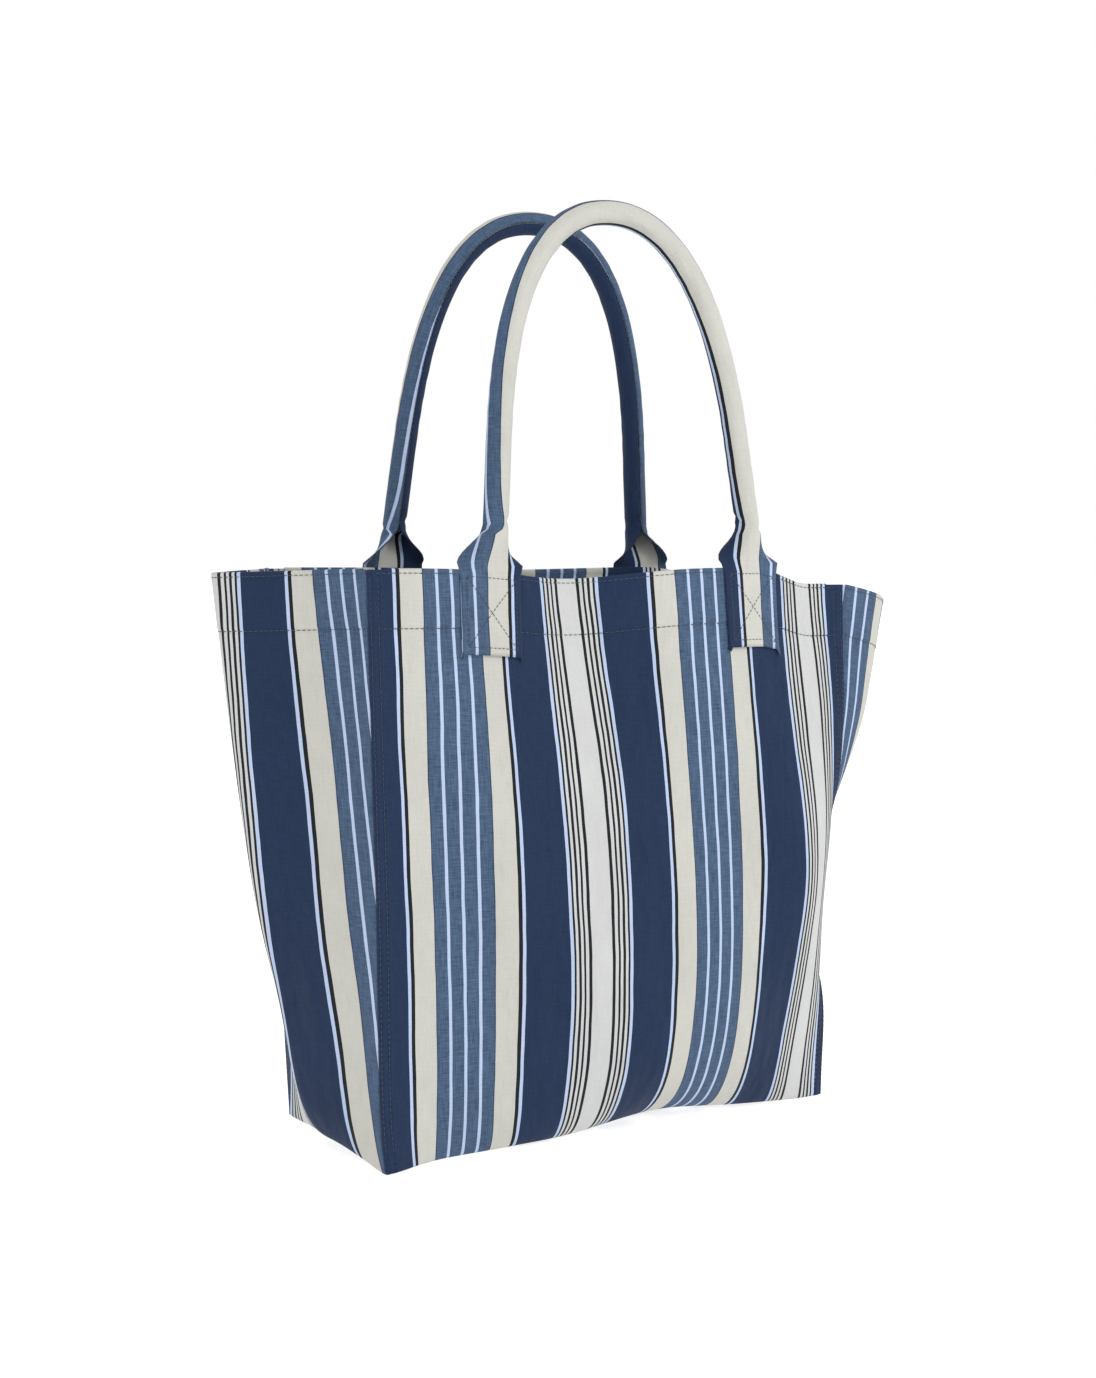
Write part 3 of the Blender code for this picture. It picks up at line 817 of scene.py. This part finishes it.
def tab(side, hand, across):
    """A tab's rows from below: the end turned under, the turn, and the sewn face up to the rim.

    The face's side edges come down to the wall."""
    low, high = HEIGHT - TAB_DEPTH, HEIGHT - 2.5 * MM
    under, face = np.linspace(low + 9 * MM, low + 0.6 * MM, 6), np.linspace(low, high, 24)
    out = np.concatenate([np.full(len(under), 1.15 * MM), np.full(len(face), OUT_OF_WALL)])
    out[len(under) - 1], out[len(under)] = 1.3 * MM, 2.1 * MM
    x = MIDDLE[side] + hand * SPREAD[side] + across[None, :] * STRIP
    x, height = np.broadcast_arrays(x, np.concatenate([under, face])[:, None])
    edge = 0.9 * MM * smooth((np.abs(across) - 0.455) / 0.045)
    stand = out[:, None] - edge[None, :] * (out[:, None] > 2 * MM)
    return on_wall(side, x, height, stand)[0]


def sew_handle(side):
    """Two tabs and the tube between them, as one grid, with the stripes along it.

    The strip was cut a little off the stripes and twists as it rises, so the stripe at its
    middle wanders by a few millimetres, and it is pulled aside at the crease of each neck."""
    tube, from_end, across = handle_strip(side)
    left, right = tab(side, -1, across), tab(side, 1, -across)
    grid = np.concatenate([left, tube, right[::-1]])
    length = arc_length(grid[:, len(across) // 2])
    count = len(left)
    on_tab = np.full(count, -1.0)
    from_crease = np.concatenate([on_tab, from_end - NECK, on_tab])
    way = np.clip((length - length[count]) / (length[-count] - length[count]), 0, 1)
    centre = 24.0 + 4.0 * hill(way, 0.45, 0.18) + 4.5 * smooth((way - 0.55) / 0.25)
    centre = centre + REAR_STRIPES * (side == "rear")
    kink = np.where(way < 0.5, -6.0, 2.0) * np.exp(-np.clip(from_crease, 0, None) / 0.020)
    kink = kink * smooth(1 + from_crease / 0.006)
    pattern_across = (centre + kink)[:, None] * MM + across[None, :] * STRIP
    pattern = np.stack([pattern_across, np.broadcast_to(length[:, None], pattern_across.shape)], -1)
    return cloth_mesh(side + "_handle_strip", grid, pattern, canvas, CANVAS)


handle_strips = {side: sew_handle(side) for side in ("front", "rear")}


# %% The cord inside each handle
def twisted_cord(side):
    """Three strands laid round each other: a three-lobed section that turns by a lobe in 30 mm."""
    tube, from_end, across = handle_strip(side)
    inside = from_end > NECK + 0.004
    front_face, back_face = tube[inside][:, len(across) // 2], tube[inside][:, 0]
    middle = (front_face + back_face) / 2
    heading = unit(np.gradient(middle, axis=0))
    first = unit(front_face - back_face)
    second = np.cross(heading, first)
    angle = np.linspace(0, math.tau, 25)[None, :]
    length = arc_length(middle)[:, None]
    radius = (TUBE - 1.2 * MM) * (0.90 + 0.08 * np.cos(3 * angle + math.tau * length / 0.030))
    radius = radius * np.where((length < MM) | (length > length[-1] - MM), 0.6, 1.0)
    ring = middle[:, None] + (radius * np.cos(angle))[..., None] * first[:, None]
    ring = ring + (radius * np.sin(angle))[..., None] * second[:, None]
    ring = np.concatenate([middle[:1, None].repeat(25, 1), ring, middle[-1:, None].repeat(25, 1)])
    flat = np.stack(np.broadcast_arrays(angle * TUBE, np.arange(len(ring))[:, None] * 3 * MM), -1)
    return cloth_mesh(side + "_handle_cord", ring, flat, cotton)


handle_cords = {side: twisted_cord(side) for side in ("front", "rear")}

# %% [markdown]
# ## Stitches
#
# A lockstitch shows as a row of short separate beads, each one dipping into the cloth at its ends.
# Hundreds of them are needed, so one formula makes them all at once, with few faces each: a small
# tube, carried along a short arc, fat in the middle and thin at its ends.

# %% Make a row of stitches
SIDES = 6
STATIONS = np.array([-1.0, -0.75, 0.0, 0.75, 1.0])  # along a stitch, from its middle
GIRTHS = np.array([0.35, 0.9, 1.0, 0.9, 0.35])


def read_off(values, length, at):
    """Values given at the points of a path, read off at some distances along it."""
    return np.stack([np.interp(at, length, values[:, i]) for i in range(3)], -1)


def stitch_row(path, outward, pitch=PITCH, radius=0.23 * MM):
    """Points and faces of stitches along a path: (vertices, faces)."""
    length = arc_length(path)
    count = max(int(length[-1] / pitch), 1)
    at = (np.arange(count) + 0.5) * length[-1] / count
    centre, out = read_off(path, length, at), unit(read_off(outward, length, at))
    ahead, before = read_off(path, length, at + 0.3 * MM), read_off(path, length, at - 0.3 * MM)
    along = unit(ahead - before)
    beside = np.cross(along, out)
    reach, rise = STATIONS * pitch * 0.40, radius * (1.0 - 1.5 * STATIONS**2)
    spine = centre[:, None] + reach[None, :, None] * along[:, None]
    spine = spine + rise[None, :, None] * out[:, None]
    angle = (np.arange(SIDES) * math.tau / SIDES)[None, None, :, None]
    ring = np.cos(angle) * beside[:, None, None] + np.sin(angle) * out[:, None, None]
    points = spine[:, :, None] + (radius * GIRTHS)[None, :, None, None] * ring

    corner = np.arange(SIDES)
    following = (corner + 1) % SIDES
    start = np.arange(count)[:, None] * SIDES * len(STATIONS)
    near = start[:, :, None] + np.arange(len(STATIONS) - 1)[None, :, None] * SIDES
    far = near + SIDES
    quads = np.stack([near + corner, far + corner, far + following, near + following], -1)
    last = start + SIDES * (len(STATIONS) - 1)
    caps = np.concatenate([start + corner, last + corner[::-1]])
    return points.reshape(-1, 3), quads.reshape(-1, 4).tolist() + caps.tolist()


def stitched(name, rows):
    """One mesh from several rows of stitches."""
    points, faces, start = [], [], 0
    for row_points, row_faces in rows:
        points.append(row_points)
        faces += [[corner + start for corner in face] for face in row_faces]
        start += len(row_points)
    mesh = bpy.data.meshes.new(name)
    mesh.from_pydata(np.concatenate(points).tolist(), [], faces)
    mesh.shade_smooth()
    mesh.materials.append(thread)
    piece = bpy.data.objects.new(name, mesh)
    bpy.context.scene.collection.objects.link(piece)
    print(name, len(faces), "faces")
    return piece


def wall_line(side, shares, heights, out):
    """A line on the front or rear wall, with its outward directions."""
    shares, heights = np.broadcast_arrays(shares, heights)
    return on_wall(side, shares * half_width(heights), heights, np.full(shares.shape, out))


def gusset_line(side, height, out):
    """A level line round a gusset, and its outward directions."""
    v, heights = np.meshgrid(np.linspace(-0.985, 0.985, 160), height + np.array([-MM, 0, MM]))
    grid = gusset(side, v, heights)
    outward = normals(grid) * side
    return grid[1] + outward[1] * out, outward[1]


ON_FACE = CANVAS / 2
LEVELS = {
    # height of the row, and how far it stands out of the cloth's middle
    "hem": (HEIGHT - HEM, ON_FACE + 0.1 * MM),
    "rim": (HEIGHT - 2.5 * MM, ON_FACE + 0.25 * MM),
}
level_rows = {}
for row, (level, out) in LEVELS.items():
    shares = np.linspace(-0.99, 0.99, 300)
    parts = [stitch_row(*wall_line(side, shares, level, out)) for side in ("front", "rear")]
    parts += [stitch_row(*gusset_line(side, level, out)) for side in (-1, 1)]
    level_rows[row] = stitched(row + "_stitches", parts)


# %% Sew the corner seams
HANDS = ((-1, "left"), (1, "right"))


def corner_rows(side, hand):
    """Two rows up a corner seam, from 12 mm above the floor to just below the rim."""
    rows = []
    heights = np.linspace(0.012, HEIGHT - 5 * MM, 260)
    for offset in ROWS:
        shares = np.full_like(heights, hand * (1 - offset / HALF_CLOTH))
        rows.append(stitch_row(*wall_line(side, shares, heights, ON_FACE + 0.45 * MM)))
    return rows


corner_stitches = {
    (side, hand): stitched(side + "_" + name + "_seam_stitches", corner_rows(side, hand))
    for side in ("front", "rear")
    for hand, name in HANDS
}


# %% Sew the tabs down: a box with a cross in it
def tab_rows(side, hand):
    """Four sides and two diagonals, 4 mm in from the tab's edges."""
    inset, stand = 4 * MM, OUT_OF_WALL + ON_FACE + 0.05 * MM
    half, low, high = STRIP / 2 - inset, HEIGHT - TAB_DEPTH + inset, HEIGHT - inset
    corners = np.array([(-half, low), (half, low), (half, high), (-half, high)])
    order = [(0, 1), (1, 2), (2, 3), (3, 0), (0, 2), (1, 3)]
    way = np.linspace(0, 1, 40)[:, None]
    rows = []
    for start, end in order:
        line = corners[start] * (1 - way) + corners[end] * way
        x = MIDDLE[side] + hand * SPREAD[side] + line[:, 0]
        rows.append(stitch_row(*on_wall(side, x, line[:, 1], stand), pitch=3.0 * MM))
    return rows


tab_stitches = {
    (side, hand): stitched(side + "_" + name + "_tab_stitches", tab_rows(side, hand))
    for side in ("front", "rear")
    for hand, name in HANDS
}


# %% Sew the handles' closing seams and the base
def closing_seam(side):
    """A row along the tube's inner side, where the strip's edges meet."""
    tube, from_end, across = handle_strip(side)
    closed = tube[from_end > NECK + 0.002]
    seam = (closed[:, 0] + closed[:, -1]) / 2
    outward = unit(seam - closed[:, len(across) // 2])
    row = stitch_row(seam + outward * (ON_FACE + 0.1 * MM), outward)
    return stitched(side + "_handle_stitches", [row])


handle_stitches = {side: closing_seam(side) for side in ("front", "rear")}


def base_rows():
    """Two rows just inside the foot of the front and rear walls."""
    rows = []
    share = np.linspace(-0.97, 0.97, 200)
    for way in (0.03, 0.97):
        foot, back = front_wall(share, 0 * share), rear_wall(share, 0 * share)
        path = foot + (back - foot) * way + np.array([0, 0, BASE_LIFT + ON_FACE + 0.2 * MM])
        rows.append(stitch_row(path, np.tile([0.0, 0.0, 1.0], (len(path), 1))))
    return rows


base_stitches = stitched("base_stitches", base_rows())

# %% [markdown]
# ## Who moves with what
#
# The handles swing on the fold of cloth at the rim. Each strip is one piece that crosses that fold,
# and it is left where it was made, tied to neither the bag nor its handle. Each handle's cord and
# closing seam follow the handle, and every other piece goes with the bag.

# %% Tie the pieces to the frame
CLOTHS = (
    (front_canvas, "front_panel"),
    (rear_canvas, "rear_panel"),
    (left_canvas, "left_gusset"),
    (right_canvas, "right_gusset"),
    (base_canvas, "base_panel"),
)
LONG_ROWS = (
    (level_rows["hem"], "hem_stitching"),
    (level_rows["rim"], "rim_stitching"),
    (base_stitches, "base_seam_stitching"),
)
for piece, node in CLOTHS:
    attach(piece, "bag")
    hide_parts(node)
for side in ("front", "rear"):
    handle, strip = side + "_handle", handle_strips[side]
    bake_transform(strip)
    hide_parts(handle + "_cover", side + "_left_handle_tab", side + "_right_handle_tab")
    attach(handle_cords[side], handle)
    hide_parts(handle + "_filler_cord")
    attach(handle_stitches[side], handle)
    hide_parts(handle + "_seam_stitching")
    for hand, name in HANDS:
        for made, kind in ((tab_stitches, "tab"), (corner_stitches, "seam")):
            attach(made[side, hand], "bag")
            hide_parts(side + "_" + name + "_" + kind + "_stitching")
for piece, node in LONG_ROWS:
    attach(piece, "bag")
    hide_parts(node)

# %% [markdown]
# ## Floor and light
#
# A product picture on white is lit from all round, so that nothing has a hard shadow. The sky is
# plain white, a large soft lamp stands to the front right and a weak one to the left. The floor
# glows a little, like a light table, so that it stays nearly white under the bag.

# %% Set the floor and the lights
def floor_finish():
    """Matt paper, very slightly uneven, with a painted glow: it gives off light of its own, which
    washes out the bag's shadow on it.
    """
    finish, tree, shader = new_finish("glowing_matt_paper")
    place = add(tree, "ShaderNodeTexCoord").outputs["Object"]
    grain = {"Vector": place, "Scale": 40.0, "Detail": 2.0}
    grain = add(tree, "ShaderNodeTexNoise", inputs=grain).outputs["Fac"]
    tone = {"Factor": grain, "A": linear("BDBDBD"), "B": linear("C0C0C0")}
    tone = add(tree, "ShaderNodeMix", {"data_type": "RGBA"}, tone)
    tree.links.new(tone.outputs["Result"], shader.inputs["Base Color"])
    shader.inputs["Roughness"].default_value = 0.9
    shader.inputs["Specular IOR Level"].default_value = 0.1
    # painted glow: the floor shines by itself, so that the bag leaves no shadow on it
    shader.inputs["Emission Color"].default_value = (1.0, 1.0, 1.0, 1.0)
    shader.inputs["Emission Strength"].default_value = 0.78
    return finish


FAR = 30  # metres to each side
floor_mesh = bpy.data.meshes.new("floor")
floor_corners = [(-FAR, -FAR, 0), (FAR, -FAR, 0), (FAR, FAR, 0), (-FAR, FAR, 0)]
floor_mesh.from_pydata(floor_corners, [], [(0, 1, 2, 3)])
floor_mesh.materials.append(floor_finish())
floor = bpy.data.objects.new("floor", floor_mesh)
bpy.context.scene.collection.objects.link(floor)


def soft_lamp(name, place, aim, size, power):
    """A square area lamp at place, turned towards aim."""
    data = bpy.data.lights.new(name, "AREA")
    data.shape, data.size, data.energy = "SQUARE", size, power
    lamp = bpy.data.objects.new(name, data)
    lamp.location = place
    lamp.rotation_euler = (Vector(aim) - Vector(place)).to_track_quat("-Z", "Y").to_euler()
    bpy.context.scene.collection.objects.link(lamp)


soft_lamp("key", (0.9, -1.8, 1.5), (0.0, 0.0, 0.35), 1.2, 16.0)
soft_lamp("fill", (-1.8, -1.4, 0.9), (0.0, 0.0, 0.25), 1.6, 2.0)
world = bpy.data.worlds.new("studio")
world.use_nodes = True
world.node_tree.nodes["Background"].inputs["Color"].default_value = (1.0, 1.0, 1.0, 1.0)
world.node_tree.nodes["Background"].inputs["Strength"].default_value = 1.0
bpy.context.scene.world = world
bpy.context.scene.view_settings.view_transform = "Standard"
print("lit")
